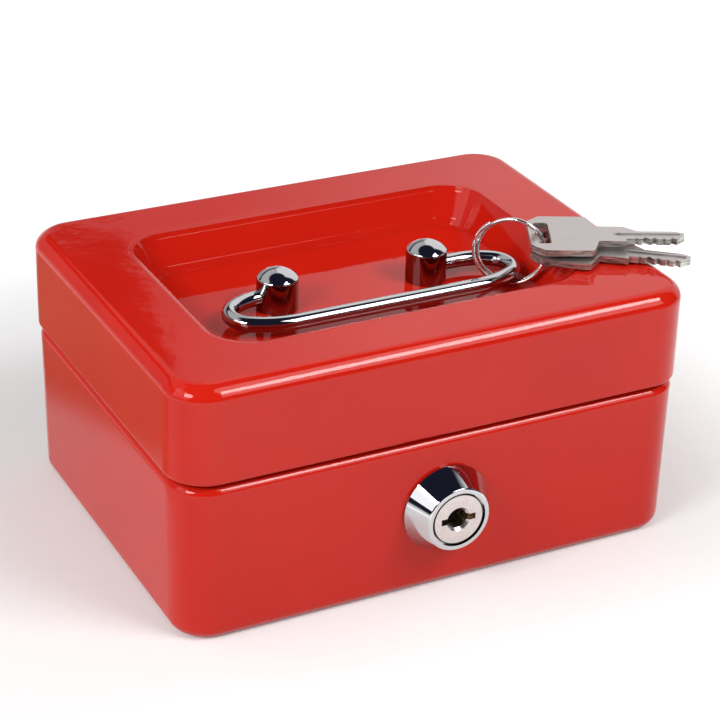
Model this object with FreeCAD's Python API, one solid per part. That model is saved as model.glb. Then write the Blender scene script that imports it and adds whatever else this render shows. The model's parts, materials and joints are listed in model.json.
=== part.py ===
import FreeCAD, Part
import math
import os

from FreeCAD import Vector

# Steel cash box with a sunk carrying bail, a cam lock and two keys on a split ring.
# Millimetres. The origin is the centre of the underside, +X runs to the right along
# the front, the front wall faces -Y and +Z is up.

# Sheet metal shells
lid_width = 125.0
lid_depth = 93.5
box_height = 61.5
seam_height = 38.7
sheet = 0.8
corner_radius = 9.5
lid_top_roll = 3.5
hem_height = 6.0
hem_roll = 0.9
hem_inner_round = 0.4
base_inset = 0.5
base_draft = 0.45
base_bottom_roll = 3.0
seam_gap = 1.0
shoulder_roll = 1.7
rim_rise = 5.0

# Well sunk into the lid for the bail
well_width = 89.6
well_length = 59.6
well_corner = 10.0
well_depth = 9.25
well_slope = 25.0
well_floor_fillet = 3.4
well_rim_roll = 2.5

# Bail and the two posts that carry it
post_diameter = 9.6
post_spacing = 38.0
post_y = 0.2
post_straight = 7.55
dome_rise = 2.15
dome_edge_roll = 0.6
bail_wire = 3.6
bail_length = 74.4
bail_reach = 14.4
bail_front_bend = 20.0
bail_front_turn = 30.0
bail_back_bend = 14.0
bail_back_turn = 35.0
bail_floor_gap = 1.45
bail_end_play = 2.0
bail_insertion = 3.0
bail_hole_spare = 2.4
stud_diameter = 4.0
stud_spare = 0.7
post_washer_diameter = 9.0
post_washer_thick = 0.8
post_nut_flats = 7.0
post_nut_thick = 2.4

# Hinge along the back seam
hinge_length = 60.0
knuckle_count = 5
knuckle_gap = 0.3
barrel_radius = 2.1
pin_radius = 1.0
pin_head_radius = 1.6
pin_head_thick = 0.7
leaf_thick = 1.0
base_leaf_height = 8.5
lid_leaf_height = 4.0
hinge_notch_end = 1.5
hinge_notch_gap = 0.4
hinge_drop = 0.5

# Cam lock in the front wall
lock_x = 0.5
lock_height = 20.35
bezel_base_radius = 10.5
bezel_face_radius = 7.5
bezel_height = 6.4
bezel_band = 0.7
bezel_edge_round = 0.5
bezel_mouth_gap = 0.25
bezel_mouth_depth = 1.2
barrel_diameter = 16.0
barrel_flats = 14.0
barrel_depth = 11.5
plug_radius = 6.2
plug_recess = 0.25
plug_edge_chamfer = 0.12
keyway_width = 8.4
keyway_height = 1.5
keyway_bore = 2.3
keyway_dimple = 0.6
keyway_depth = 15.0
wafer_count = 5
wafer_pitch = 2.3
wafer_thick = 0.7
wafer_height = 6.2
wafer_window = 7.0
first_wafer = 3.2
lock_washer_radius = 11.0
lock_washer_thick = 1.0
lock_nut_flats = 19.0
lock_nut_thick = 3.5
cam_thick = 1.5
cam_hub_radius = 7.0
cam_arm_width = 8.0
cam_square = 6.0
cam_tip_round = 2.0
cam_screw_radius = 1.9
cam_screw_length = 6.0
cam_head_radius = 3.6
cam_head_thick = 2.0

# Catch under the lid that the cam turns over
catch_width = 8.0
catch_thick = 1.2
catch_tab_height = 8.0
catch_bend = 0.6
catch_flange_height = 7.0

# Coin tray on two ledges
ledge_length = 50.0
ledge_reach = 5.0
ledge_leg = 8.0
ledge_thick = 1.0
ledge_below_seam = 2.7
tray_flange = 1.5
tray_flange_edge = 2.6
tray_depth = 14.0
tray_wall = 1.3
tray_draft = 1.6
tray_corner = 6.0
tray_cups = 4
cup_corner = 4.5
cup_fillet = 2.5

# Split ring, which hangs on the right end of the bail
ring_radius = 8.25
ring_wire = 0.9
ring_pitch = 1.36
ring_second_shift = 0.4
ring_second_tighter = 0.4
ring_jog = 35.0
ring_jog_angle = 90.0
ring_steps_per_turn = 4
ring_turn = -35.0
ring_lean = -2.5
ring_from_tip = 2.64
ring_from_bar = 3.58
ring_slack = 0.4

# Keys, laid flat one over the other across the right rim of the lid
key_length = 35.8
key_thick = 1.5
bow_length = 15.7
bow_width = 19.0
bow_corner = 3.0
bow_shoulder = 1.6
bow_round = 1.2
neck_width = 8.2
neck_length = 6.4
neck_slope = 3.2
blade_back = 1.6
blade_front = 2.8
blade_tip = 2.0
blade_tip_half = 0.7
rib_radius = 1.1
rib_on_neck = 2.8
rib_ramp = 1.6
rib_end = 1.0
slot_length = 11.5
slot_width = 3.4
slot_corner = 0.9
slot_from_rear = 3.1
key_cut_depths = [0.5, 0.9, 0.7, 0.4, 0.8]
key_cut_pitch = 2.1
key_cut_start = 2.4
lower_key_heading = -38.5
upper_key_heading = -25.0
lower_key_lead = 0.6
upper_key_lead = 0.25
lower_key_play = 0.5
upper_key_play = 0.7

# Clearances
running_clearance = 0.06
loose_clearance = 0.1
rest_gap = 0.3
cam_gap = 0.2
catch_gap = 0.6
catch_side_gap = 0.8
tray_clearance = 0.8
tray_lock_gap = 1.5

# Derived levels and half sizes
lid_half_x = lid_width / 2
lid_half_y = lid_depth / 2
hem_thick = 2 * sheet
base_half_x = lid_half_x - base_inset
base_half_y = lid_half_y - base_inset
base_corner = corner_radius - base_inset
shoulder_height = seam_height - seam_gap
rim_half_x = base_half_x - shoulder_roll
rim_half_y = base_half_y - shoulder_roll
rim_top = shoulder_height + rim_rise
well_floor = box_height - well_depth
bail_radius = bail_wire / 2
bail_height = well_floor + bail_floor_gap + bail_radius
bail_tip_x = bail_length / 2 - bail_radius
bail_bar_y = post_y - bail_reach
hinge_y = lid_half_y - hem_thick - leaf_thick + barrel_radius
hinge_z = seam_height - hinge_drop
notch_half_x = hinge_length / 2 + hinge_notch_end
plug_tail = cam_gap + cam_thick
catch_left = lock_nut_flats / 2 + catch_side_gap
cam_reach = catch_left + catch_width - catch_gap
FAR = 200.0


def base_wall_y(height):
    """Outer face of the drafted front wall of the base at a height, as a positive distance."""
    return base_half_y - base_draft * (1 - height / shoulder_height)


def base_wall_x(height):
    """Outer face of the drafted side walls of the base at a height."""
    return base_half_x - base_draft * (1 - height / shoulder_height)


lock_wall_y = -base_wall_y(lock_height)
lock_seat = sheet + base_draft * lock_washer_radius / shoulder_height
cam_front_y = lock_wall_y + barrel_depth + cam_gap
lock_back_y = cam_front_y + cam_thick + cam_head_thick


def rounded_rect(half_x, half_y, radius, z, centre_x=0.0, centre_y=0.0):
    """Closed wire of four lines and four corner arcs in a level plane."""
    edges = []
    corners = [(1, 1, 0), (-1, 1, 90), (-1, -1, 180), (1, -1, 270)]
    arcs = []
    for sign_x, sign_y, start in corners:
        cx = centre_x + sign_x * (half_x - radius)
        cy = centre_y + sign_y * (half_y - radius)
        points = []
        for step in (0, 45, 90):
            angle = math.radians(start + step)
            points.append(Vector(cx + radius * math.cos(angle), cy + radius * math.sin(angle), z))
        arcs.append(points)
    for index, points in enumerate(arcs):
        following = arcs[(index + 1) % 4]
        edges.append(Part.Arc(*points).toShape())
        edges.append(Part.LineSegment(points[2], following[0]).toShape())
    return Part.Wire(edges)


def rounded_block(half_x, half_y, radius, z0, z1):
    """Upright block with rounded plan corners."""
    face = Part.Face(rounded_rect(half_x, half_y, radius, z0))
    return face.extrude(Vector(0, 0, z1 - z0))


def drafted_block(half_x, half_y, radius, z0, z1, growth, centre_x=0.0, centre_y=0.0):
    """Block whose plan grows evenly on all sides from z0 to z1."""
    bottom = rounded_rect(half_x, half_y, radius, z0, centre_x, centre_y)
    top = rounded_rect(half_x + growth, half_y + growth, radius + growth, z1, centre_x, centre_y)
    return Part.makeLoft([bottom, top], True, True)


def box(x0, x1, y0, y1, z0, z1):
    """Plain block between two corners, used as a cutter or a plate."""
    return Part.makeBox(x1 - x0, y1 - y0, z1 - z0, Vector(x0, y0, z0))


def level_edges(shape, z, half_x=FAR, half_y=FAR):
    """Edges that lie in the level plane z, within a plan half size."""
    found = []
    for edge in shape.Edges:
        bounds = edge.BoundBox
        flat = abs(bounds.ZMin - z) < 1e-4 and abs(bounds.ZMax - z) < 1e-4
        inside = max(abs(bounds.XMin), abs(bounds.XMax)) < half_x
        inside = inside and max(abs(bounds.YMin), abs(bounds.YMax)) < half_y
        if flat and inside:
            found.append(edge)
    return found


def extruded_outline(points, plane, start, length):
    """Closed outline of (across, up) points drawn in the YZ or XZ plane and pulled straight."""
    if plane == "YZ":
        corners = [Vector(start, a, b) for a, b in points]
        pull = Vector(length, 0, 0)
    else:
        corners = [Vector(a, start, b) for a, b in points]
        pull = Vector(0, length, 0)
    return Part.Face(Part.makePolygon(corners + corners[:1])).extrude(pull)


def turned(points):
    """Solid of revolution about Z from (radius, height) points."""
    corners = [Vector(radius, 0, height) for radius, height in points]
    face = Part.Face(Part.makePolygon(corners + corners[:1]))
    return face.revolve(Vector(0, 0, 0), Vector(0, 0, 1), 360)


def hexagon(flats, z0, z1):
    """Upright hexagonal prism with a pair of flats facing left and right."""
    radius = flats / math.sqrt(3)
    corners = []
    for index in range(6):
        angle = math.radians(30 + 60 * index)
        corners.append(Vector(radius * math.cos(angle), radius * math.sin(angle), z0))
    return Part.Face(Part.makePolygon(corners + corners[:1])).extrude(Vector(0, 0, z1 - z0))


def upright(radius, z0, z1, x=0.0, y=0.0):
    """Round bar parallel to Z."""
    return Part.makeCylinder(radius, z1 - z0, Vector(x, y, z0))


def along_x(radius, x0, x1, y, z):
    """Round bar parallel to X."""
    return Part.makeCylinder(radius, x1 - x0, Vector(x0, y, z), Vector(1, 0, 0))


def both_sides(shape):
    """The shape and its mirror image in the plane X = 0."""
    return [shape, shape.mirror(Vector(0, 0, 0), Vector(1, 0, 0))]


# Base


def base_outside():
    """Outer form of the base: drafted walls, rolled bottom edge and rolled shoulder."""
    body = drafted_block(base_half_x - base_draft, base_half_y - base_draft, base_corner - base_draft,
                         0, shoulder_height, base_draft)
    body = body.makeFillet(base_bottom_roll, level_edges(body, 0))
    return body.makeFillet(shoulder_roll, level_edges(body, shoulder_height))


def base_inside():
    """Hollow of the base, one sheet thickness inside its outer form."""
    top = shoulder_height - sheet
    low = drafted_block(base_wall_x(sheet) - sheet, base_wall_y(sheet) - sheet,
                        base_corner - base_draft - sheet, sheet, top, base_wall_x(top) - base_wall_x(sheet))
    low = low.makeFillet(base_bottom_roll - sheet, level_edges(low, sheet))
    low = low.makeFillet(shoulder_roll - sheet, level_edges(low, top))
    throat = rounded_block(rim_half_x - sheet, rim_half_y - sheet, base_corner - shoulder_roll - sheet,
                           shoulder_height - 2 * shoulder_roll, rim_top + sheet)
    return low.fuse(throat)


def base_pan():
    rim = rounded_block(rim_half_x, rim_half_y, base_corner - shoulder_roll,
                        shoulder_height - shoulder_roll, rim_top)
    pan = base_outside().fuse(rim).cut(base_inside())
    notch = box(-notch_half_x, notch_half_x, lid_half_y - hem_thick - 2 * leaf_thick, lid_depth,
                hinge_z - barrel_radius - hinge_notch_gap, box_height)
    hole = on_front(lock_barrel(barrel_diameter / 2 + loose_clearance, loose_clearance, barrel_depth))
    return pan.cut(notch).cut(hole)


def tray_ledges():
    """Two steel angles on the side walls that the coin tray rests on."""
    top = seam_height - ledge_below_seam
    wall = base_wall_x(top - ledge_leg) - sheet
    outline = [(wall, top - ledge_leg), (wall, top), (wall - ledge_reach, top),
               (wall - ledge_reach, top - ledge_thick), (wall - ledge_thick, top - ledge_thick),
               (wall - ledge_thick, top - ledge_leg)]
    return both_sides(extruded_outline(outline, "XZ", tray_middle_y() - ledge_length / 2, ledge_length))


# Lid


def well_form(offset):
    """Sunk well with sloping walls, grown outwards by a sheet thickness for its underside."""
    lean = math.tan(math.radians(well_slope))
    sideways = offset / math.cos(math.radians(well_slope))
    floor = well_floor - offset
    shrink = (box_height - floor) * lean - sideways
    rise = box_height + lid_top_roll - floor
    form = drafted_block(well_width / 2 - shrink, well_length / 2 - shrink, well_corner - shrink,
                         floor, floor + rise, rise * lean)
    return form.makeFillet(well_floor_fillet + offset, level_edges(form, floor))


def well_rim_edges(shape, z):
    """Edges of the well's mouth at a level."""
    return level_edges(shape, z, well_width / 2 + sheet, well_length / 2 + sheet)


def lid_inside():
    """Hollow under the lid, narrowed along its lower edge by the folded hem."""
    room = rounded_block(lid_half_x - sheet, lid_half_y - sheet, corner_radius - sheet,
                         seam_height + hem_height, box_height - sheet)
    room = room.makeFillet(lid_top_roll - sheet, level_edges(room, box_height - sheet))
    room = room.cut(well_form(sheet))
    room = room.makeFillet(well_rim_roll - sheet, well_rim_edges(room, box_height - sheet))
    mouth = rounded_block(lid_half_x - hem_thick, lid_half_y - hem_thick, corner_radius - hem_thick,
                          seam_height - hem_height, seam_height + hem_height)
    return room.fuse(mouth)


def lid_shell():
    shell = rounded_block(lid_half_x, lid_half_y, corner_radius, seam_height, box_height)
    shell = shell.makeFillet(lid_top_roll, level_edges(shell, box_height))
    shell = shell.makeFillet(hem_roll, level_edges(shell, seam_height))
    shell = shell.cut(well_form(0))
    shell = shell.makeFillet(well_rim_roll, well_rim_edges(shell, box_height))
    shell = shell.cut(lid_inside())
    fold = hem_thick - hem_roll / 4
    inner_edges = level_edges(shell, seam_height, lid_half_x - fold, lid_half_y - fold)
    shell = shell.makeFillet(hem_inner_round, inner_edges)
    for x in (-post_spacing / 2, post_spacing / 2):
        radius = stud_diameter / 2 + loose_clearance
        shell = shell.cut(upright(radius, well_floor - sheet, box_height, x, post_y))
    notch = box(-notch_half_x, notch_half_x, lid_half_y - 2 * hem_thick, lid_depth,
                0, hinge_z + barrel_radius + hinge_notch_gap)
    return shell.cut(notch)


def handle_posts():
    """Domed posts, each with a stud below the well floor and a blind hole for the bail."""
    radius = post_diameter / 2
    sphere = (radius ** 2 + dome_rise ** 2) / (2 * dome_rise)
    shoulder = well_floor + post_straight
    stud_end = well_floor - sheet - post_washer_thick - post_nut_thick - stud_spare
    dome = Part.makeSphere(sphere, Vector(0, 0, shoulder + dome_rise - sphere))
    dome = dome.common(upright(radius, shoulder, shoulder + sphere))
    body = upright(radius, well_floor, shoulder).fuse(dome).removeSplitter()
    body = body.makeFillet(dome_edge_roll, level_edges(body, shoulder))
    body = body.fuse(upright(stud_diameter / 2, stud_end, well_floor))
    depth = bail_insertion + bail_hole_spare
    hole = along_x(bail_radius + running_clearance, radius - depth, post_diameter, 0, bail_height)
    post = body.cut(hole)
    post.translate(Vector(post_spacing / 2, post_y, 0))
    return both_sides(post)


def post_fixings():
    """Washer and nut on each stud, under the well floor."""
    seat = well_floor - sheet
    low = seat - post_washer_thick
    bore = upright(stud_diameter / 2 + running_clearance, seam_height, seat)
    washer = upright(post_washer_diameter / 2, low, seat).cut(bore)
    nut = hexagon(post_nut_flats, low - post_nut_thick, low).cut(bore)
    pairs = []
    for piece in (washer, nut):
        piece.translate(Vector(post_spacing / 2, post_y, 0))
        pairs.append(Part.makeCompound(both_sides(piece)))
    return pairs


def lid_catch():
    """Bent strip from the lid's front wall down to a foot that lies under the turned cam."""
    wall = -(lid_half_y - sheet)
    flange = seam_height + catch_flange_height
    plate = cam_front_y - catch_gap - catch_thick
    foot = lock_height - cam_arm_width / 2 - catch_gap
    toe = cam_front_y + cam_thick + catch_gap
    tab = flange + catch_tab_height
    outline = [(wall, tab), (wall, flange), (plate, flange), (plate, foot - catch_thick),
               (toe, foot - catch_thick), (toe, foot), (plate + catch_thick, foot),
               (plate + catch_thick, flange + catch_thick), (wall + catch_thick, flange + catch_thick),
               (wall + catch_thick, tab)]
    strip = extruded_outline(outline, "YZ", lock_x + catch_left, catch_width)
    bends = [outline[1], outline[2], outline[3], outline[6], outline[7], outline[8]]
    edges = []
    for edge in strip.Edges:
        middle = edge.BoundBox.Center
        straight = edge.BoundBox.XLength > catch_width / 2
        if straight and any(math.hypot(middle.y - y, middle.z - z) < 1e-4 for y, z in bends):
            edges.append(edge)
    return strip.makeFillet(catch_bend, edges)


# Hinge


def knuckle_spans(first):
    """Every other knuckle's start and end along X, from the first or the second one."""
    pitch = hinge_length / knuckle_count
    spans = []
    for index in range(first, knuckle_count, 2):
        start = -hinge_length / 2 + index * pitch
        spans.append((start + knuckle_gap / 2, start + pitch - knuckle_gap / 2))
    return spans


def hinge_leaf(first, inner_y, up, height):
    """Flat leaf with rolled knuckles, standing up from the pin or hanging down from it."""
    clear = barrel_radius + rest_gap
    outer_y = inner_y + leaf_thick
    half = hinge_length / 2 - knuckle_gap / 2
    near = hinge_z + up * clear
    far = hinge_z + up * (clear + height)
    leaf = box(-half, half, inner_y, outer_y, min(near, far), max(near, far))
    for start, end in knuckle_spans(first):
        root = box(start, end, inner_y, outer_y, min(hinge_z, near), max(hinge_z, near))
        leaf = leaf.fuse(root).fuse(along_x(barrel_radius, start, end, hinge_y, hinge_z))
    bore = along_x(pin_radius + running_clearance, -hinge_length, hinge_length, hinge_y, hinge_z)
    return leaf.cut(bore).removeSplitter()


def base_leaf_y():
    """Inner face of the base leaf, which lies on the inside of the drafted back wall."""
    return base_wall_y(hinge_z - barrel_radius - rest_gap - base_leaf_height) - sheet - leaf_thick


def hinge_pin():
    half = hinge_length / 2
    pin = along_x(pin_radius, -half, half, hinge_y, hinge_z)
    for start in (-half - pin_head_thick + knuckle_gap / 2, half - knuckle_gap / 2):
        pin = pin.fuse(along_x(pin_head_radius, start, start + pin_head_thick, hinge_y, hinge_z))
    return pin.removeSplitter()


# Bail


def bail_end():
    """Stops along the bail's right end: bar, wide bend, tight bend round the tip, wide bend and shank."""
    bends = ((bail_front_bend, math.radians(bail_front_turn)), (bail_back_bend, math.radians(bail_back_turn)))
    rises = [bend * (1 - math.cos(turn)) for bend, turn in bends]
    tip_bend = (bail_reach - sum(rises)) / sum(math.cos(turn) for bend, turn in bends)
    tip_centre = bail_tip_x - tip_bend
    halves = []
    for bend, turn in bends:
        start = tip_centre - (bend - tip_bend) * math.sin(turn)
        steps = [0, turn / 2, turn]
        halves.append([(start + bend * math.sin(step), bend * (1 - math.cos(step))) for step in steps])
    front = [(x, bail_bar_y + rise) for x, rise in halves[0]]
    back = [(x, post_y - rise) for x, rise in reversed(halves[1])]
    tip_y = front[-1][1] + tip_bend * math.cos(bends[0][1])
    return front + [(bail_tip_x, tip_y)] + back


def bail():
    """Bent wire: two shanks in the posts, two oval ends and the front bar."""
    shank_x = post_spacing / 2 + post_diameter / 2 - bail_insertion
    right = [Vector(x, y, bail_height) for x, y in bail_end() + [(shank_x, post_y)]]
    left = [Vector(-stop.x, stop.y, stop.z) for stop in reversed(right)]
    edges = [Part.LineSegment(left[0], left[1]).toShape()]
    edges += [Part.Arc(*left[first:first + 3]).toShape() for first in (1, 3, 5)]
    edges.append(Part.LineSegment(left[-1], right[0]).toShape())
    edges += [Part.Arc(*right[first:first + 3]).toShape() for first in (0, 2, 4)]
    edges.append(Part.LineSegment(right[-2], right[-1]).toShape())
    section = Part.Wire([Part.makeCircle(bail_radius, left[0], Vector(1, 0, 0))])
    wire = Part.Wire(edges).makePipeShell([section], True, False)
    wire.translate(Vector(bail_end_play, 0, 0))
    return wire


# Lock. It is drawn upright: local +Z points out of the front wall, local +Y is up.


def on_front(shape):
    """Turn an upright lock piece to face -Y and set it on the front wall."""
    shape.rotate(Vector(0, 0, 0), Vector(1, 0, 0), 90)
    shape.translate(Vector(lock_x, lock_wall_y, lock_height))
    return shape


def lock_barrel(radius, allowance, depth):
    """Round barrel with two flats that keep it from turning in the wall."""
    flats = barrel_flats / 2 + allowance
    return upright(radius, -depth, sheet).common(box(-flats, flats, -FAR, FAR, -depth, sheet))


def lock_housing():
    """Conical bezel, seated on the drafted wall, with the threaded barrel behind it."""
    bore = plug_radius + running_clearance
    mouth = bore + bezel_mouth_gap
    mouth_floor = bezel_height - bezel_mouth_depth
    bezel = turned([(bore, -sheet), (bezel_base_radius, -sheet), (bezel_base_radius, bezel_band),
                    (bezel_face_radius, bezel_height), (mouth, bezel_height), (mouth, mouth_floor),
                    (bore, mouth_floor)])
    lips = level_edges(bezel, bezel_height)
    rim = max(lips, key=lambda edge: edge.BoundBox.XMax)
    bezel = on_front(bezel.makeFillet(bezel_edge_round, [rim])).cut(base_outside())
    barrel = lock_barrel(barrel_diameter / 2, 0, barrel_depth)
    barrel = on_front(barrel.cut(upright(bore, -barrel_depth, bezel_height)))
    return bezel.fuse(barrel).removeSplitter()


def keyway(width, height, bore, top, depth):
    """Flat slot with a round middle, sunk from a level down."""
    slot = box(-width / 2, width / 2, -height / 2, height / 2, top - depth, top)
    return slot.fuse(upright(bore, top - depth, top))


def wafer_levels():
    return [first_wafer - index * wafer_pitch for index in range(wafer_count)]


def lock_plug():
    """Round plug with its keyway, the wafer slots across it and a square tail for the cam."""
    face = bezel_height - plug_recess
    plug = upright(plug_radius, -barrel_depth, face)
    plug = plug.makeChamfer(plug_edge_chamfer, level_edges(plug, face))
    tail = cam_square / 2
    tail_end = -barrel_depth - plug_tail + loose_clearance
    plug = plug.fuse(box(-tail, tail, -tail, tail, tail_end, -barrel_depth))
    plug = plug.cut(keyway(keyway_width, keyway_height, keyway_bore, face, keyway_depth))
    plug = plug.cut(Part.makeCone(keyway_bore, keyway_bore + keyway_dimple, keyway_dimple,
                                  Vector(0, 0, face - keyway_dimple)))
    half = wafer_height / 2 + running_clearance
    for level in wafer_levels():
        plug = plug.cut(box(-FAR, FAR, -half, half, level - running_clearance,
                            level + wafer_thick + running_clearance))
    hole_end = -barrel_depth - plug_tail + cam_screw_length + sheet
    return on_front(plug.cut(upright(cam_screw_radius + running_clearance, -FAR, hole_end)))


def lock_wafers():
    """Tumbler wafers, drawn in as they are with the key in."""
    wafers = []
    half = wafer_height / 2
    for level in wafer_levels():
        disc = upright(plug_radius - running_clearance, level, level + wafer_thick)
        wafer = disc.common(box(-FAR, FAR, -half, half, level, level + wafer_thick))
        window = keyway(wafer_window, keyway_height, keyway_bore, level + wafer_thick, wafer_thick)
        wafers.append(on_front(wafer.cut(window)))
    return Part.makeCompound(wafers)


def lock_washer():
    washer = upright(lock_washer_radius, -lock_seat - lock_washer_thick, -lock_seat)
    hole = lock_barrel(barrel_diameter / 2 + running_clearance, running_clearance, barrel_depth)
    return on_front(washer.cut(hole))


def lock_nut():
    top = -lock_seat - lock_washer_thick
    nut = hexagon(lock_nut_flats, top - lock_nut_thick, top)
    return on_front(nut.cut(upright(barrel_diameter / 2 + running_clearance, -FAR, FAR)))


def lock_cam():
    """Round hub with a straight arm, which points up while the box is unlocked."""
    low = -barrel_depth - cam_gap - cam_thick
    half = cam_arm_width / 2
    arm = box(-half, half, 0, cam_reach, low, low + cam_thick)
    posts = [edge for edge in arm.Edges if edge.BoundBox.ZLength > cam_thick / 2]
    arm = arm.makeFillet(cam_tip_round, [edge for edge in posts if edge.BoundBox.YMin > 0])
    cam = arm.fuse(upright(cam_hub_radius, low, low + cam_thick)).removeSplitter()
    square = cam_square / 2 + running_clearance
    return on_front(cam.cut(box(-square, square, -square, square, low, low + cam_thick)))


def cam_screw():
    top = -barrel_depth - plug_tail
    head = upright(cam_head_radius, top - cam_head_thick, top)
    head = head.makeFillet(cam_head_thick / 3, level_edges(head, top - cam_head_thick))
    return on_front(head.fuse(upright(cam_screw_radius, top, top + cam_screw_length)))


# Coin tray


def tray_span():
    """Front and back edges of the tray's flange, behind the lock and inside the rim."""
    return lock_back_y + tray_lock_gap, rim_half_y - sheet - tray_clearance


def tray_middle_y():
    front, back = tray_span()
    return (front + back) / 2


def coin_tray():
    """Flanged tray with a row of drafted cups."""
    front, back = tray_span()
    middle = tray_middle_y()
    half_x = rim_half_x - sheet - tray_clearance
    half_y = (back - front) / 2
    rest = seam_height - ledge_below_seam
    top = rest + tray_flange
    body_x = base_wall_x(rest) - sheet - ledge_reach - tray_clearance
    body_y = half_y - tray_flange_edge
    plate = Part.Face(rounded_rect(half_x, half_y, tray_corner, rest, 0, middle))
    plate = plate.extrude(Vector(0, 0, tray_flange))
    tray = drafted_block(body_x - tray_draft, body_y - tray_draft, tray_corner - tray_draft,
                         top - tray_depth, top, tray_draft, 0, middle).fuse(plate)
    pitch = (2 * (body_x - tray_wall) + tray_wall) / tray_cups
    draft = tray_draft
    for index in range(tray_cups):
        x = (index - (tray_cups - 1) / 2) * pitch
        cup_x = (pitch - tray_wall) / 2
        cup_y = body_y - tray_wall
        floor = top - tray_depth + tray_wall
        cup = drafted_block(cup_x - draft, cup_y - draft, cup_corner - draft, floor, top, draft, x, middle)
        tray = tray.cut(cup.makeFillet(cup_fillet, level_edges(cup, floor)))
    return tray.removeSplitter()


# Split ring


def ring_axes():
    """Normal of the ring's plane, its level direction and its steep direction."""
    turn = math.radians(ring_turn)
    lean = math.radians(ring_lean)
    normal = Vector(math.sin(turn) * math.cos(lean), -math.cos(turn) * math.cos(lean), math.sin(lean))
    level = Vector(math.cos(turn), math.sin(turn), 0)
    return normal, level, normal.cross(level)


def ring_centre():
    """The ring hangs round the bend at the bail's right end and clears it by its slack."""
    lift = ring_radius - ring_wire / 2 - bail_radius - ring_slack
    return Vector(bail_tip_x + bail_end_play - ring_from_tip, bail_bar_y + ring_from_bar, bail_height + lift)


def ring_hub(share):
    """Centre and radius of the front turn, of the tighter turn behind it, or of the jog between."""
    normal, level, steep = ring_axes()
    inset = ring_second_tighter * share
    hub = ring_centre() + level * (ring_second_shift * share) - steep * inset + normal * (ring_pitch * (0.5 - share))
    return hub, ring_radius - inset


def ring_point(turn_angle):
    """Centre line of the wire: one turn in front, a jog, and a tighter turn behind it."""
    normal, level, steep = ring_axes()
    share = min(max((turn_angle - 360 + ring_jog) / (2 * ring_jog), 0.0), 1.0)
    hub, radius = ring_hub(share * share * (3 - 2 * share))
    angle = math.radians(turn_angle + ring_jog_angle)
    return hub + level * (radius * math.cos(angle)) + steep * (radius * math.sin(angle))


def ring_direction(turn_angle):
    step = 0.01
    return (ring_point(turn_angle + step) - ring_point(turn_angle - step)).normalize()


def tangent_arc(start, direction, end):
    """Arc from a point along a direction to an end point."""
    chord = end - start
    across = chord - direction * chord.dot(direction)
    rise = across.Length
    half_turn = math.atan2(rise, chord.dot(direction))
    sag = chord.Length / 2 * math.tan(half_turn / 2)
    chord_way = Vector(chord).normalize()
    outward = (direction - chord_way * direction.dot(chord_way)).normalize()
    return Part.Arc(start, start + chord * 0.5 + outward * sag, end).toShape()


def biarc(start, start_way, end, end_way):
    """Two arcs that join smoothly between two points with given directions."""
    gap = end - start
    both = start_way + end_way
    a = 2 * (1 - start_way.dot(end_way))
    b = 2 * gap.dot(both)
    c = -gap.dot(gap)
    reach = (-b + math.sqrt(b * b - 4 * a * c)) / (2 * a)
    joint = (start + start_way * reach + end - end_way * reach) * 0.5
    return [tangent_arc(start, start_way, joint), reversed_arc(tangent_arc(end, end_way * -1, joint))]


def reversed_arc(edge):
    first, last = edge.ParameterRange
    middle = edge.valueAt((first + last) / 2)
    return Part.Arc(edge.valueAt(last), middle, edge.valueAt(first)).toShape()


def ring_stops():
    """Turn angles that the wire's arcs run between."""
    start = ring_jog
    end = 720 - ring_jog
    count = 2 * ring_steps_per_turn
    return [start + (end - start) * index / count for index in range(count + 1)]


def ring_line():
    """The wire's centre line as smoothly joined arcs."""
    stops = ring_stops()
    edges = []
    for start, end in zip(stops, stops[1:]):
        edges += biarc(ring_point(start), ring_direction(start), ring_point(end), ring_direction(end))
    return edges


def key_ring():
    start = ring_stops()[0]
    section = Part.Wire([Part.makeCircle(ring_wire / 2, ring_point(start), ring_direction(start))])
    return Part.Wire(ring_line()).makePipeShell([section], True, False)


def ring_least_gap():
    """Least clear distance between the two turns, measured on points of the centre line."""
    points = []
    for edge in ring_line():
        points += edge.discretize(24)[:-1]
    half_turn = len(points) // 4
    least = FAR
    for index, point in enumerate(points):
        for other in points[index + half_turn:]:
            least = min(least, point.distanceToPoint(other))
    return least - ring_wire


# Keys


def ring_pass(height):
    """Middle of the two turns where the ring's right side passes a height."""
    normal, level, steep = ring_axes()
    middle = Vector(0, 0, 0)
    for share in (0.0, 1.0):
        hub, radius = ring_hub(share)
        sine = (height - hub.z) / (radius * steep.z)
        cosine = math.sqrt(1 - sine * sine)
        middle += (hub + level * (radius * cosine) + steep * (radius * sine)) * 0.5
    return middle


def key_outline():
    """Key drawn along +X with its rear edge at the origin; as many cuts as its blade has room for are on the -Y edge."""
    bow = bow_width / 2
    neck = neck_width / 2
    neck_end = bow_length + neck_length
    tip = key_length - blade_tip
    bow_half = [(0, bow - bow_corner), (bow_corner, bow), (bow_length - bow_shoulder, bow), (bow_length, neck),
                (neck_end, neck)]
    back = bow_half + [(neck_end + neck_slope, blade_back), (tip, blade_back), (key_length, blade_tip_half)]
    front = bow_half + [(neck_end, blade_front)]
    for index, depth in enumerate(key_cut_depths):
        middle = neck_end + key_cut_start + index * key_cut_pitch
        if middle + depth > tip:
            break
        front += [(middle - depth, blade_front), (middle, blade_front - depth), (middle + depth, blade_front)]
    front += [(tip, blade_front), (key_length, blade_tip_half)]
    return back + [(x, -y) for x, y in reversed(front)]


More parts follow.
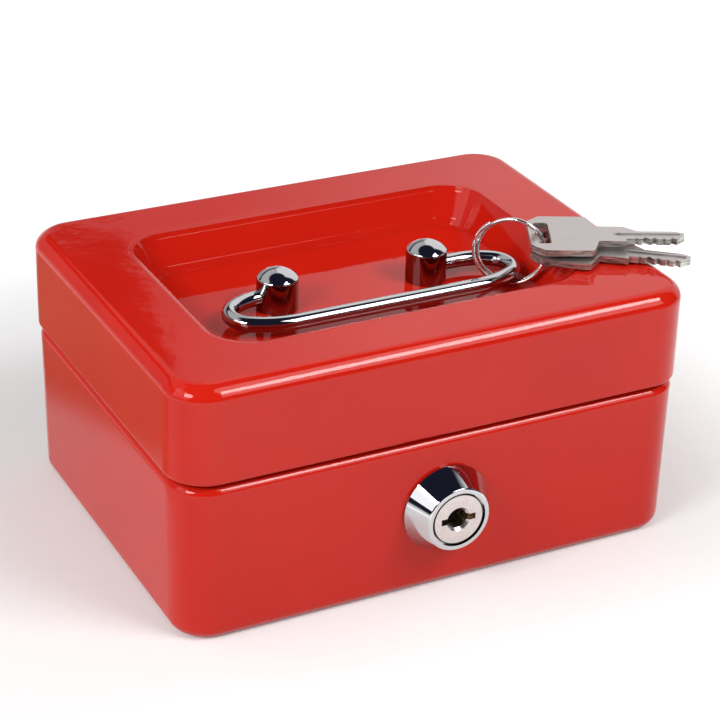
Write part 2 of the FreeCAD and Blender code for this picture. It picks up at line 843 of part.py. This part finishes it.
def key_blank():
    """Stamped key: bow with a slot for the ring, neck, and a blade stiffened by a rib."""
    points = [Vector(x, y, -key_thick / 2) for x, y in key_outline()]
    key = Part.Face(Part.makePolygon(points + points[:1])).extrude(Vector(0, 0, key_thick))
    rounds = []
    for edge in key.Edges:
        bounds = edge.BoundBox
        if bounds.ZLength > key_thick / 2 and bounds.XMax < bow_length - 1e-3:
            rounds.append(edge)
    key = key.makeFillet(bow_round, rounds)
    rib_start = bow_length + neck_length - rib_on_neck
    rib = along_x(rib_radius, rib_start + rib_ramp, key_length - rib_end, 0, 0)
    ramp = Part.makeCone(key_thick / 2, rib_radius, rib_ramp, Vector(rib_start, 0, 0), Vector(1, 0, 0))
    slot = Part.Face(rounded_rect(slot_width / 2, slot_length / 2, slot_corner, -key_thick, slot_from_rear, 0))
    slot = slot.extrude(Vector(0, 0, 2 * key_thick))
    return key.fuse(rib.fuse(ramp)).cut(slot).removeSplitter()


def laid_key(level, heading, lead, play):
    """Key laid flat at a level, with the ring through its slot, off the slot's middle by its lead and play."""
    key = key_blank()
    angle = math.radians(heading)
    along = Vector(math.cos(angle), math.sin(angle), 0)
    across = Vector(-math.sin(angle), math.cos(angle), 0)
    key.translate(Vector(-slot_from_rear, 0, 0))
    key.rotate(Vector(0, 0, 0), Vector(0, 0, 1), heading)
    key.translate(ring_pass(level) + along * lead + across * play)
    return key


def build():
    posts = handle_posts()
    washers, nuts = post_fixings()
    ledges = tray_ledges()
    lower_level = box_height + rest_gap + rib_radius
    upper_level = lower_level + rib_radius + rest_gap + key_thick / 2
    return {
        "base_pan": base_pan(),
        "tray_ledge_right": ledges[0],
        "tray_ledge_left": ledges[1],
        "hinge_leaf_base": hinge_leaf(0, base_leaf_y(), -1, base_leaf_height),
        "hinge_pin": hinge_pin(),
        "lock_housing": lock_housing(),
        "lock_washer": lock_washer(),
        "lock_nut": lock_nut(),
        "lid_shell": lid_shell(),
        "hinge_leaf_lid": hinge_leaf(1, lid_half_y - hem_thick - leaf_thick, 1, lid_leaf_height),
        "lid_catch": lid_catch(),
        "handle_post_right": posts[0],
        "handle_post_left": posts[1],
        "post_washers": washers,
        "post_nuts": nuts,
        "bail": bail(),
        "lock_plug": lock_plug(),
        "lock_wafers": lock_wafers(),
        "lock_cam": lock_cam(),
        "cam_screw": cam_screw(),
        "coin_tray": coin_tray(),
        "key_ring": key_ring(),
        "key_lower": laid_key(lower_level, lower_key_heading, lower_key_lead, lower_key_play),
        "key_upper": laid_key(upper_level, upper_key_heading, upper_key_lead, upper_key_play),
    }


os.makedirs("parts", exist_ok=True)
for name, shape in build().items():
    shape.exportStep("parts/%s.step" % name)
print("least gap between the ring's turns: %.2f mm" % ring_least_gap())
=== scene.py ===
import json
import math

import bpy
from mathutils import Matrix, Vector


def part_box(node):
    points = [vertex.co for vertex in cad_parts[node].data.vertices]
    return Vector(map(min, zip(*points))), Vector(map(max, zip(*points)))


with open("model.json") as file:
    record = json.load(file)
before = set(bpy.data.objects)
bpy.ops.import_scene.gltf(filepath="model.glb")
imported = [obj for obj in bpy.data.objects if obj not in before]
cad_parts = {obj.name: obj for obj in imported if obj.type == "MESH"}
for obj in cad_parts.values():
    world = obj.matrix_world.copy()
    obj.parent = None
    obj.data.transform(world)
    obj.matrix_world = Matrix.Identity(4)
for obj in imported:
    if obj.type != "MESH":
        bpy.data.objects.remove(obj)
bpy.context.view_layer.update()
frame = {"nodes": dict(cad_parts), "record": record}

NODES = frame["nodes"]
MM = 0.001
MICRON = 0.000001
WHITE = (1.0, 1.0, 1.0)

# Camera, from the box's own edges in the picture; angles in degrees
CAMERA_AZIMUTH = -27.480
CAMERA_ELEVATION = 27.212
CAMERA_ROLL = 1.623
CAMERA_DISTANCE = 0.53271
CAMERA_TARGET = Vector((0.00234, 0.0, 0.03442))
CAMERA_LENS = 114.19
CAMERA_SENSOR = 36.0
CAMERA_CLIP = (0.01, 50.0)

# Paper floor; its lift to white grows with the distance from a shaded area behind and left of the box
FLOOR_SIZE = 1.3
PAPER_WHITE = (0.76, 0.76, 0.76)
PAPER_FIBRE = 4 * MM
PAPER_DULL = 0.97
PAPER_ROUGHNESS = 0.9
LIFT_NEAR = 0.12
LIFT_FAR = 0.55
LIFT_REACH = 0.10
SHADE_MIDDLE = (-0.050, 0.030, 0.0)
SHADE_HALF = (0.113, 0.077, 0.0)

# Dark warm card on the floor, outside the picture: painted shade, standing for the box's shadow and red
# bounce on the floor there, for the left walls to mirror; each edge fades in from its first to its second
# distance
CARD_SHADE_COLOUR = (0.46, 0.35, 0.24)
CARD_SIZE = 0.30
CARD_MIDDLE = (-0.125, 0.080, 0.0006)
CARD_SIDE = (-0.9516, 0.3373, 0.0)
CARD_SIDE_EDGES = ((0.088, 0.104), (0.200, 0.160))
CARD_ALONG = (0.4615, 0.887, 0.0)
CARD_ALONG_EDGES = ((-0.070, -0.035), (0.130, 0.090))

# Room: navy, with a pale wall behind; heights are the sine of the elevation
ROOM_NAVY = (0.013, 0.014, 0.030)
FILL_UP = 0.46
FILL_LEFT = 0.75
HORIZON = (0.0, 0.09)
WALL_FACING = (0.930, -0.3665, 0.0)
WALL_DIM = 0.42
WALL_BRIGHT = 1.0
WALL_HIGH = 0.60
WALL_BRIGHT_REACH = 0.11
SILL = (0.404, 0.409)
JAMB = (0.408, 0.456)
JAMB_PLACE = (-0.011, 0.0106)
JAMB_BLUR = 0.004
SLANT = (0.35, 0.55)
SLANT_PLACE = (-0.06, 0.06)
HIGH_PART = (0.50, 0.54)
WALL_TOP = (0.84, 0.90)
WALL_END = (0.0, 0.12)

# Lamps: azimuth from the front to the right, elevation, distance, width, height, brightness
LAMPS = {
    "left_softbox": (-82.0, 28.0, 0.85, 0.56, 0.46, 1.5),
    "left_bulb": (-66.0, 36.0, 0.83, 0.26, 0.18, 14.0),
    "right_softbox": (33.0, 45.5, 0.90, 0.445, 0.516, 3.6),
    "right_bulb": (37.0, 45.0, 0.88, 0.34, 0.12, 17.0),
}

# Forms that the finishes follow, as the frame has them
BOX_TOP = 61.5 * MM
WELL_FLOOR = 52.25 * MM
WALL_LEAN = 65.0
RIM_ROLL = 2.5 * MM
LID_ROLL = 3.5 * MM
SHOULDER_ROLL = 1.7 * MM
FLOOR_FILLET = 3.4 * MM
WELL_REACH = {"X": 47.0 * MM, "Y": 32.0 * MM}
PLUG_EDGE = 6.2 * MM

# Enamel; the rolls' normals between level and their span, in degrees, draw together by the flatness
ENAMEL_DEEP = (0.525, 0.0115, 0.0045)
ENAMEL_PALE = (0.560, 0.0140, 0.0055)
ENAMEL_IOR = 1.36
FILM_DEPTH = 13 * MICRON
ROLL_SPAN = 82.0
ROLL_FLATNESS = 0.031
ROLL_CLEAR = (4 * MM, 5 * MM)
CREASE_REAR = (12 * MM, 24 * MM)
CREASE_RIGHT = (30 * MM, 42 * MM)
CREASE_FADE = 0.4 * MM
CREASE_FACING = (0.05, 0.15)

# Plating
CHROME_DARK = (0.56, 0.56, 0.575)
CHROME_LIGHT = (0.62, 0.62, 0.63)
# Painted shade: the handle chrome's darker colour where it faces sideways and down, and the upward share over
# which it sets in
CHROME_PAINTED_SHADE = (0.27, 0.25, 0.255)
CHROME_SHADE_FACING = (0.02, 0.25)
KEY_DARK = (0.58, 0.525, 0.510)
KEY_LIGHT = (0.66, 0.605, 0.590)
# Key edge colours, dark and light: partly shear marks, partly painted reflections
KEY_EDGE_DARK = (0.20, 0.195, 0.18)
KEY_EDGE_LIGHT = (0.66, 0.67, 0.63)
KEY_STREAKS = (260.0, 260.0, 2600.0)
PLUG_DARK = (0.60, 0.545, 0.525)
PLUG_LIGHT = (0.69, 0.640, 0.620)
# Painted shade: near-black ring at the plug's edge for the shade in the gap round it, and the band it fades
# over
PLUG_GAP_SHADE = (0.025, 0.022, 0.020)
PLUG_GAP_SHADE_BAND = (0.40 * MM, 0.22 * MM)
PLUG_RINGS = 4200.0
RING_LIGHT = (0.92, 0.91, 0.90)
RING_DULL = (0.80, 0.79, 0.77)
ZINC_DARK = (0.46, 0.47, 0.49)
ZINC_LIGHT = (0.66, 0.67, 0.68)
BRASS_BRIGHT = (0.66, 0.47, 0.20)
BRASS_TARNISH = (0.40, 0.26, 0.10)
PLASTIC_BLACK = (0.016, 0.016, 0.017)
PLASTIC_SCUFF = (0.045, 0.045, 0.047)


# Node helpers


class Nodes:
    """A node tree, with short calls that add and join its nodes."""

    def __init__(self, tree):
        self.tree = tree

    def node(self, kind, **settings):
        node = self.tree.nodes.new("ShaderNode" + kind)
        for name, value in settings.items():
            setattr(node, name, value)
        return node

    def join(self, source, socket):
        self.tree.links.new(source, socket)

    def put(self, value, socket):
        """Join a socket, or write a number, vector or colour."""
        if isinstance(value, bpy.types.NodeSocket):
            self.join(value, socket)
        elif socket.type == "RGBA":
            socket.default_value = (*value, 1.0)
        else:
            socket.default_value = value

    def math(self, operation, *values, **settings):
        node = self.node("Math", operation=operation, **settings)
        for value, socket in zip(values, node.inputs):
            self.put(value, socket)
        return node.outputs[0]

    def vector_math(self, operation, *values):
        node = self.node("VectorMath", operation=operation)
        for value, socket in zip(values, node.inputs):
            self.put(value, socket)
        return node.outputs

    def split(self, vector):
        node = self.node("SeparateXYZ")
        self.join(vector, node.inputs[0])
        return node.outputs

    def along(self, vector, way):
        """Distance of a place along a direction."""
        return self.vector_math("DOT_PRODUCT", vector, way)["Value"]

    def length(self, vector):
        return self.vector_math("LENGTH", vector)["Value"]

    def span(self, source, low, high, to_low=0.0, to_high=1.0, smooth=False):
        """Map a value's range to another, held at both ends."""
        node = self.node("MapRange", clamp=True)
        node.interpolation_type = "SMOOTHSTEP" if smooth else "LINEAR"
        ends = {"From Min": low, "From Max": high, "To Min": to_low, "To Max": to_high}
        for name, value in ends.items():
            node.inputs[name].default_value = value
        self.join(source, node.inputs["Value"])
        return node.outputs["Result"]

    def sum(self, first, second, share=1.0):
        """First value plus a share of the second."""
        return self.math("MULTIPLY_ADD", second, share, first)

    def product(self, first, second):
        return self.math("MULTIPLY", first, second)

    def larger(self, first, second):
        return self.math("MAXIMUM", first, second)

    def blend(self, share, first, second):
        """Mix two colours; each is a colour or a socket."""
        node = self.node("Mix", data_type="RGBA")
        self.join(share, node.inputs["Factor"])
        self.put(first, node.inputs[6])
        self.put(second, node.inputs[7])
        return node.outputs[2]

    def seen_rays(self):
        """One for rays that show the room: to the camera, in metal and through glass."""
        path = self.node("LightPath")
        mirrored = self.larger(path.outputs["Is Camera Ray"], path.outputs["Is Glossy Ray"])
        return self.larger(mirrored, path.outputs["Is Transmission Ray"])


class Sheet(Nodes):
    """One material: its shader, the place on its object and textures of a size in metres."""

    def __init__(self, name, **values):
        self.material = bpy.data.materials.new(name)
        self.material.use_nodes = True
        super().__init__(self.material.node_tree)
        self.shader = self.tree.nodes["Principled BSDF"]
        coordinates = self.node("TexCoord")
        self.place = coordinates.outputs["Object"]
        self.facing = coordinates.outputs["Normal"]
        for socket, value in values.items():
            self.shader.inputs[socket.replace("_", " ")].default_value = value

    def feed(self, source, name):
        self.join(source, self.shader.inputs[name])

    def stretched(self, scale):
        """Object coordinates, scaled along the axes."""
        mapping = self.node("Mapping")
        mapping.inputs["Scale"].default_value = scale
        self.join(self.place, mapping.inputs["Vector"])
        return mapping.outputs["Vector"]

    def noise(self, size, detail=2.0, rough=0.5, where=None):
        node = self.node("TexNoise")
        node.inputs["Scale"].default_value = 1.0 / size
        node.inputs["Detail"].default_value = detail
        node.inputs["Roughness"].default_value = rough
        self.join(where or self.place, node.inputs["Vector"])
        return node.outputs["Fac"]

    def cells(self, size, output="Distance"):
        node = self.node("TexVoronoi")
        node.inputs["Scale"].default_value = 1.0 / size
        self.join(self.place, node.inputs["Vector"])
        return node.outputs[output]

    def bump(self, height, depth, below=None):
        """Bump of a depth in metres, over other normals where there are any."""
        node = self.node("Bump")
        node.inputs["Strength"].default_value = 1.0
        node.inputs["Distance"].default_value = depth
        self.join(height, node.inputs["Height"])
        if below:
            self.join(below, node.inputs["Normal"])
        return node.outputs["Normal"]

    def upward(self):
        """Upward share of the surface's own direction."""
        return self.split(self.facing)["Z"]

    def side_walls(self):
        """One on upright walls of a flat stamping, nought on its two faces."""
        return self.span(self.math("ABSOLUTE", self.upward()), 0.35, 0.75, 1.0, 0.0)

    def sharp_arc(self, level, start, radius, turn):
        """Depth, as a share of its radius, by which a fillet that turns so far misses a sharp corner."""
        turn = math.radians(turn)
        end = start + radius * (1 - math.cos(turn))
        cosine = self.span(level, start, end, 1.0, math.cos(turn))
        rest = self.math("MULTIPLY_ADD", self.product(cosine, cosine), -1.0, 1.0)
        sine = self.math("SQRT", rest, use_clamp=True)
        other = self.sum(self.product(cosine, math.cos(turn)), sine, math.sin(turn))
        return self.math("LOGARITHM", self.larger(cosine, other), math.e)


# Finishes


def flat_roll(sheet, radius):
    """Height in millimetres that flattens the middle of the outer rolled edge, as a worn die leaves it."""
    angle = sheet.math("ARCSINE", sheet.upward())
    turn = sheet.span(angle, 0.0, math.radians(ROLL_SPAN), -math.pi, math.pi)
    depth = -2.0 * ROLL_FLATNESS * radius / MM
    hollow = sheet.span(sheet.math("COSINE", turn), -1.0, 1.0, 0.0, depth)
    parts = sheet.split(sheet.place)
    start, full = ROLL_CLEAR
    beyond = [sheet.span(sheet.math("ABSOLUTE", parts[axis]), reach + start, reach + full)
              for axis, reach in WELL_REACH.items()]
    return sheet.product(hollow, sheet.larger(*beyond))


def well_creases(sheet):
    """Height in millimetres that draws the well's back and right corners tight, as the press leaves them."""
    parts = sheet.split(sheet.place)
    rim = sheet.sharp_arc(parts["Z"], BOX_TOP, -RIM_ROLL, WALL_LEAN)
    floor = sheet.sharp_arc(parts["Z"], WELL_FLOOR, FLOOR_FILLET, WALL_LEAN)
    height = sheet.sum(sheet.product(floor, FLOOR_FILLET / MM), rim, -RIM_ROLL / MM)
    rear = sheet.span(parts["Y"], *CREASE_REAR, smooth=True)
    right = sheet.span(parts["X"], *CREASE_RIGHT, smooth=True)
    place = sheet.larger(rear, right)
    for axis, reach in WELL_REACH.items():
        across = sheet.math("ABSOLUTE", parts[axis])
        place = sheet.product(place, sheet.span(across, reach, reach + CREASE_FADE, 1.0, 0.0))
    place = sheet.product(place, sheet.span(sheet.upward(), *CREASE_FACING))
    return sheet.product(height, place)


def red_enamel(name, roll, creased=False):
    """Baked gloss enamel: orange peel, faint depth of colour, a few nibs in the film."""
    sheet = Sheet(name, IOR=ENAMEL_IOR)
    cloud = sheet.noise(30 * MM, 2.0)
    sheet.feed(sheet.blend(sheet.span(cloud, 0.3, 0.7), ENAMEL_DEEP, ENAMEL_PALE), "Base Color")
    smear = sheet.noise(18 * MM, 4.0, 0.6)
    sheet.feed(sheet.span(smear, 0.35, 0.75, 0.03, 0.07), "Roughness")
    peel = sheet.noise(4.5 * MM, 1.0)
    waves = sheet.noise(15 * MM, 1.0)
    ripple = sheet.noise(1.8 * MM, 1.0)
    nibs = sheet.span(sheet.cells(9.5 * MM), 0.0, 0.022, 1.0, 0.0, True)
    film = sheet.sum(sheet.sum(sheet.sum(peel, waves, 2.5), ripple, 0.35), nibs, 2.0)
    form = flat_roll(sheet, roll)
    if creased:
        form = sheet.sum(form, well_creases(sheet))
    pressed = sheet.bump(form, MM)
    sheet.feed(sheet.bump(film, FILM_DEPTH, pressed), "Normal")
    return sheet.material


def bright_chrome(name, shade_painted=False):
    """Mirror chrome with fine pits; one with shade painted gets a darker plating colour where it does not
    face up, as painted shade.
    """
    sheet = Sheet(name, Metallic=1.0)
    haze = sheet.noise(4 * MM, 3.0)
    plate = sheet.blend(haze, CHROME_DARK, CHROME_LIGHT)
    if shade_painted:
        # Painted shade: the plating colour darkens where the surface turns from up to sideways and down
        shade_share = sheet.span(sheet.upward(), *CHROME_SHADE_FACING, 1.0, 0.0)
        plate = sheet.blend(shade_share, plate, CHROME_PAINTED_SHADE)
    sheet.feed(plate, "Base Color")
    pits = sheet.span(sheet.cells(0.55 * MM), 0.02, 0.10, 1.0, 0.0, True)
    rare = sheet.span(sheet.noise(1.1 * MM, 1.0), 0.52, 0.60)
    pits = sheet.product(pits, rare)
    sheet.feed(sheet.sum(sheet.span(haze, 0.3, 0.7, 0.025, 0.055), pits, 0.25), "Roughness")
    sheet.feed(sheet.bump(pits, 12 * MICRON), "Normal")
    return sheet.material


def stamped_nickel():
    """Nickel plate on the keys: satin faces; streaky edges, their dark and light streaks partly shear marks
    and partly painted reflections.
    """
    sheet = Sheet("stamped_nickel", Metallic=1.0)
    walls = sheet.side_walls()
    grain = sheet.noise(0.35 * MM, 3.0, 0.7)
    stain = sheet.noise(6 * MM, 3.0, 0.6)
    faces = sheet.blend(sheet.span(stain, 0.3, 0.7), KEY_DARK, KEY_LIGHT)
    streaks = sheet.noise(1.0, 2.0, 0.6, sheet.stretched(KEY_STREAKS))
    # Painted reflections mixed with shear streaks: the edges' colour swings from dark to light along the
    # streaks
    edge_marks_and_reflections = sheet.blend(sheet.span(streaks, 0.36, 0.62), KEY_EDGE_DARK, KEY_EDGE_LIGHT)
    sheet.feed(sheet.blend(walls, faces, edge_marks_and_reflections), "Base Color")
    rough = sheet.span(stain, 0.3, 0.7, 0.34, 0.44)
    sheet.feed(sheet.sum(rough, walls, 0.06), "Roughness")
    edge_grain = sheet.product(sheet.sum(streaks, grain, 0.25), walls)
    height = sheet.sum(sheet.noise(0.9 * MM, 2.0), edge_grain, 4.0)
    sheet.feed(sheet.bump(height, 16 * MICRON), "Normal")
    return sheet.material


def turned_nickel():
    """Nickel plate on the lock plug: faint turning rings round its own middle and a dark ring at its edge,
    painted shade of the gap round it.
    """
    sheet = Sheet("turned_nickel", Metallic=1.0)
    low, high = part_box("lock_plug")
    centred = sheet.node("Mapping", vector_type="TEXTURE")
    centred.inputs["Location"].default_value = (Vector(low) + Vector(high)) / 2
    sheet.join(sheet.place, centred.inputs["Vector"])
    radius = sheet.length(sheet.vector_math("MULTIPLY", centred.outputs["Vector"], (1.0, 0.0, 1.0))["Vector"])
    rings = sheet.node("TexNoise", noise_dimensions="1D")
    rings.inputs["Scale"].default_value = PLUG_RINGS
    rings.inputs["Detail"].default_value = 2.0
    sheet.join(radius, rings.inputs["W"])
    stain = sheet.noise(1.6 * MM, 3.0, 0.6)
    plate = sheet.blend(sheet.span(stain, 0.3, 0.7), PLUG_DARK, PLUG_LIGHT)
    # Painted shade: the plug's colour darkens to near black at its edge, where the gap round it lies in shade
    start, full = (PLUG_EDGE - inset for inset in PLUG_GAP_SHADE_BAND)
    gap_shade = sheet.span(radius, start, full, smooth=True)
    sheet.feed(sheet.blend(gap_shade, plate, PLUG_GAP_SHADE), "Base Color")
    sheet.feed(sheet.span(stain, 0.3, 0.7, 0.20, 0.32), "Roughness")
    sheet.feed(sheet.bump(sheet.sum(rings.outputs["Fac"], stain, 1.5), 6 * MICRON), "Normal")
    return sheet.material


def ring_nickel():
    """Nickel-plated ring wire: bright, with a few dull spots."""
    sheet = Sheet("ring_nickel", Metallic=1.0)
    spots = sheet.noise(3 * MM, 2.0, 0.5)
    sheet.feed(sheet.blend(sheet.span(spots, 0.35, 0.7), RING_LIGHT, RING_DULL), "Base Color")
    sheet.feed(sheet.span(spots, 0.3, 0.7, 0.10, 0.16), "Roughness")
    sheet.feed(sheet.bump(spots, 3 * MICRON), "Normal")
    return sheet.material


def zinc_steel():
    """Zinc-plated steel: pale bluish spangle with a satin grain."""
    sheet = Sheet("zinc_steel", Metallic=1.0)
    tone = sheet.node("SeparateColor")
    sheet.join(sheet.cells(2.2 * MM, "Color"), tone.inputs[0])
    grain = sheet.noise(0.5 * MM, 3.0, 0.7)
    shade = sheet.sum(sheet.span(tone.outputs[0], 0.0, 1.0, 0.0, 0.5), grain, 0.5)
    sheet.feed(sheet.blend(shade, ZINC_DARK, ZINC_LIGHT), "Base Color")
    sheet.feed(sheet.span(shade, 0.2, 0.8, 0.30, 0.46), "Roughness")
    sheet.feed(sheet.bump(grain, 12 * MICRON), "Normal")
    return sheet.material


def black_plastic():
    """Moulded black plastic with a fine satin texture and dusty scuffs."""
    sheet = Sheet("black_plastic")
    scuff = sheet.noise(12 * MM, 5.0, 0.65)
    sheet.feed(sheet.blend(sheet.span(scuff, 0.5, 0.8), PLASTIC_BLACK, PLASTIC_SCUFF), "Base Color")
    sheet.feed(sheet.span(scuff, 0.3, 0.8, 0.38, 0.55), "Roughness")
    sheet.feed(sheet.bump(sheet.noise(0.5 * MM, 2.0), 20 * MICRON), "Normal")
    return sheet.material


def stamped_brass():
    """Bare stamped brass with a warm tarnish."""
    sheet = Sheet("stamped_brass", Metallic=1.0)
    tarnish = sheet.noise(1.4 * MM, 4.0, 0.6)
    sheet.feed(sheet.blend(sheet.span(tarnish, 0.35, 0.7), BRASS_BRIGHT, BRASS_TARNISH), "Base Color")
    sheet.feed(sheet.span(tarnish, 0.3, 0.7, 0.22, 0.42), "Roughness")
    sheet.feed(sheet.bump(tarnish, 10 * MICRON), "Normal")
    return sheet.material


def dress_frame():
    """Give every CAD node the finish of its material slot, or a closer one of its own."""
    finishes = {
        "red_enamel": red_enamel("red_enamel", SHOULDER_ROLL),
        "bright_chrome": bright_chrome("handle_chrome", shade_painted=True),
        "nickel": stamped_nickel(),
        "zinc_steel": zinc_steel(),
        "black_plastic": black_plastic(),
        "brass": stamped_brass(),
    }
    own = {
        "lid_shell": red_enamel("lid_enamel", LID_ROLL, creased=True),
        "lock_housing": bright_chrome("bright_chrome"),
        "lock_plug": turned_nickel(),
        "key_ring": ring_nickel(),
    }
    for item in frame["record"]["subparts"]:
        mesh = NODES[item["node"]].data
        mesh.materials.clear()
        mesh.materials.append(own.get(item["node"], finishes[item["material_slot"]]))


# Studio


def make_camera():
    """Camera at the picture's place, with its slight roll."""
    turn = math.radians(CAMERA_AZIMUTH)
    roll = math.radians(CAMERA_ROLL)
    back = direction(CAMERA_AZIMUTH, CAMERA_ELEVATION)
    right = Vector((math.cos(turn), math.sin(turn), 0.0))
    up = back.cross(right)
    rolled_right = right * math.cos(roll) + up * math.sin(roll)
    rolled_up = up * math.cos(roll) - right * math.sin(roll)
    turned = Matrix((rolled_right, rolled_up, back)).transposed().to_4x4()
    data = bpy.data.cameras.new("studio_camera")
    data.lens = CAMERA_LENS
    data.sensor_width = CAMERA_SENSOR
    data.clip_start, data.clip_end = CAMERA_CLIP
    camera = bpy.data.objects.new("studio_camera", data)
    bpy.context.scene.collection.objects.link(camera)
    camera.matrix_world = Matrix.Translation(CAMERA_TARGET + back * CAMERA_DISTANCE) @ turned
    bpy.context.scene.camera = camera


def direction(azimuth, elevation):
    """Direction from the box, at an azimuth from the front to the right and an elevation."""
    turn, lift = math.radians(azimuth), math.radians(elevation)
    return Vector((math.sin(turn) * math.cos(lift), -math.cos(turn) * math.cos(lift), math.sin(lift)))


def paper_sheet(name, colour):
    """Plain fibrous paper."""
    sheet = Sheet(name, Roughness=PAPER_ROUGHNESS, Specular_IOR_Level=0.0)
    dull = tuple(PAPER_DULL * value for value in colour)
    sheet.feed(sheet.blend(sheet.noise(PAPER_FIBRE, 3.0), dull, colour), "Base Color")
    return sheet


def flat_plane(name, size, place):
    """Square plane with its place in its mesh."""
    bpy.ops.object.select_all(action="DESELECT")
    bpy.ops.mesh.primitive_plane_add(size=size, location=place)
    bpy.ops.object.transform_apply(location=True)
    plane = bpy.context.object
    plane.name = name
    return plane


def paper_floor():
    """White paper sweep that stays white to the camera and keeps the box's shadow."""
    floor = flat_plane("paper_floor", FLOOR_SIZE, (0.0, 0.0, 0.0))
    sheet = paper_sheet("white_paper", PAPER_WHITE)
    sheet.put(WHITE, sheet.shader.inputs["Emission Color"])
    off = sheet.vector_math("SUBTRACT", sheet.place, SHADE_MIDDLE)["Vector"]
    off = sheet.vector_math("ABSOLUTE", off)["Vector"]
    off = sheet.vector_math("SUBTRACT", off, SHADE_HALF)["Vector"]
    off = sheet.vector_math("MAXIMUM", off, (0.0, 0.0, 0.0))["Vector"]
    lift = sheet.span(sheet.length(off), 0.0, LIFT_REACH, LIFT_NEAR, LIFT_FAR, True)
    sheet.feed(sheet.product(sheet.seen_rays(), lift), "Emission Strength")
    floor.data.materials.append(sheet.material)


def painted_shade_card():
    """Dark warm card left of the picture, painted shade for the box's shadow and red bounce on the floor, for
    the left walls to mirror, with soft edges and no shadow.
    """
    card = flat_plane("painted_shade_card", CARD_SIZE, CARD_MIDDLE)
    # Painted shade: the card's dark warm colour stands for shaded, red-lit floor, seen in the left walls
    sheet = paper_sheet("painted_shade_paper", CARD_SHADE_COLOUR)
    fades = []
    for way, edge_marks_and_reflections in ((CARD_SIDE, CARD_SIDE_EDGES), (CARD_ALONG, CARD_ALONG_EDGES)):
        reach = sheet.along(sheet.place, way)
        for outer, inner in edge_marks_and_reflections:
            if outer < inner:
                fades.append(sheet.span(reach, outer, inner, 0.0, 1.0, True))
            else:
                fades.append(sheet.span(reach, inner, outer, 1.0, 0.0, True))
    cover = fades[0]
    for fade in fades[1:]:
        cover = sheet.product(cover, fade)
    sheet.feed(cover, "Alpha")
    card.data.materials.append(sheet.material)
    card.visible_camera = False
    card.visible_shadow = False


def studio_world():
    """Room that the camera and the metal see, and a soft fill for everything else."""
    world = bpy.data.worlds.new("studio_world")
    world.use_nodes = True
    room = Nodes(world.node_tree)
    way = room.node("TexCoord").outputs["Generated"]
    parts = room.split(way)
    side, height = room.along(way, WALL_FACING), parts["Z"]
    past_jamb = room.math("SUBTRACT", side, room.span(height, *JAMB, *JAMB_PLACE))
    beside = room.span(past_jamb, -JAMB_BLUR, JAMB_BLUR, 0.0, 1.0, True)
    lit = room.larger(beside, room.span(height, *SILL, 1.0, 0.0, True))
    slant = room.math("ADD", side, room.span(height, *SLANT, *SLANT_PLACE))
    low = room.product(lit, room.span(slant, 0.0, WALL_BRIGHT_REACH, WALL_DIM, WALL_BRIGHT))
    wall = room.larger(low, room.span(height, *HIGH_PART, 0.0, WALL_HIGH, True))
    wall = room.product(wall, room.span(height, *WALL_TOP, 1.0, 0.0, True))
    wall = room.product(wall, room.span(parts["Y"], *WALL_END, 0.0, 1.0, True))
    seen = room.blend(wall, ROOM_NAVY, WHITE)
    seen = room.blend(room.span(height, *HORIZON, 1.0, 0.0, True), seen, WHITE)
    above = room.span(height, 0.0, 1.0, 0.0, FILL_UP)
    fill = room.math("ADD", above, room.span(parts["X"], -1.0, 0.0, FILL_LEFT, 0.0))
    soft = room.node("CombineXYZ")
    for socket in soft.inputs:
        room.join(fill, socket)
    background = room.tree.nodes["Background"].inputs
    room.join(room.blend(room.seen_rays(), soft.outputs[0], seen), background["Color"])
    background["Strength"].default_value = 1.0
    bpy.context.scene.world = world


def softbox(name, azimuth, elevation, distance, width, height, brightness):
    """Rectangular lamp that faces the box."""
    way = direction(azimuth, elevation)
    data = bpy.data.lights.new(name, "AREA")
    data.shape = "RECTANGLE"
    data.size = width
    data.size_y = height
    data.energy = brightness * math.pi * width * height
    lamp = bpy.data.objects.new(name, data)
    bpy.context.scene.collection.objects.link(lamp)
    lamp.location = CAMERA_TARGET + way * distance
    lamp.rotation_euler = (-way).to_track_quat("-Z", "Y").to_euler()
    lamp.visible_camera = False


def make_studio():
    """Floor, card, room and lamps."""
    paper_floor()
    painted_shade_card()
    studio_world()
    for name, values in LAMPS.items():
        softbox(name, *values)


make_camera()
make_studio()
dress_frame()
bpy.context.scene.view_settings.view_transform = "Standard"
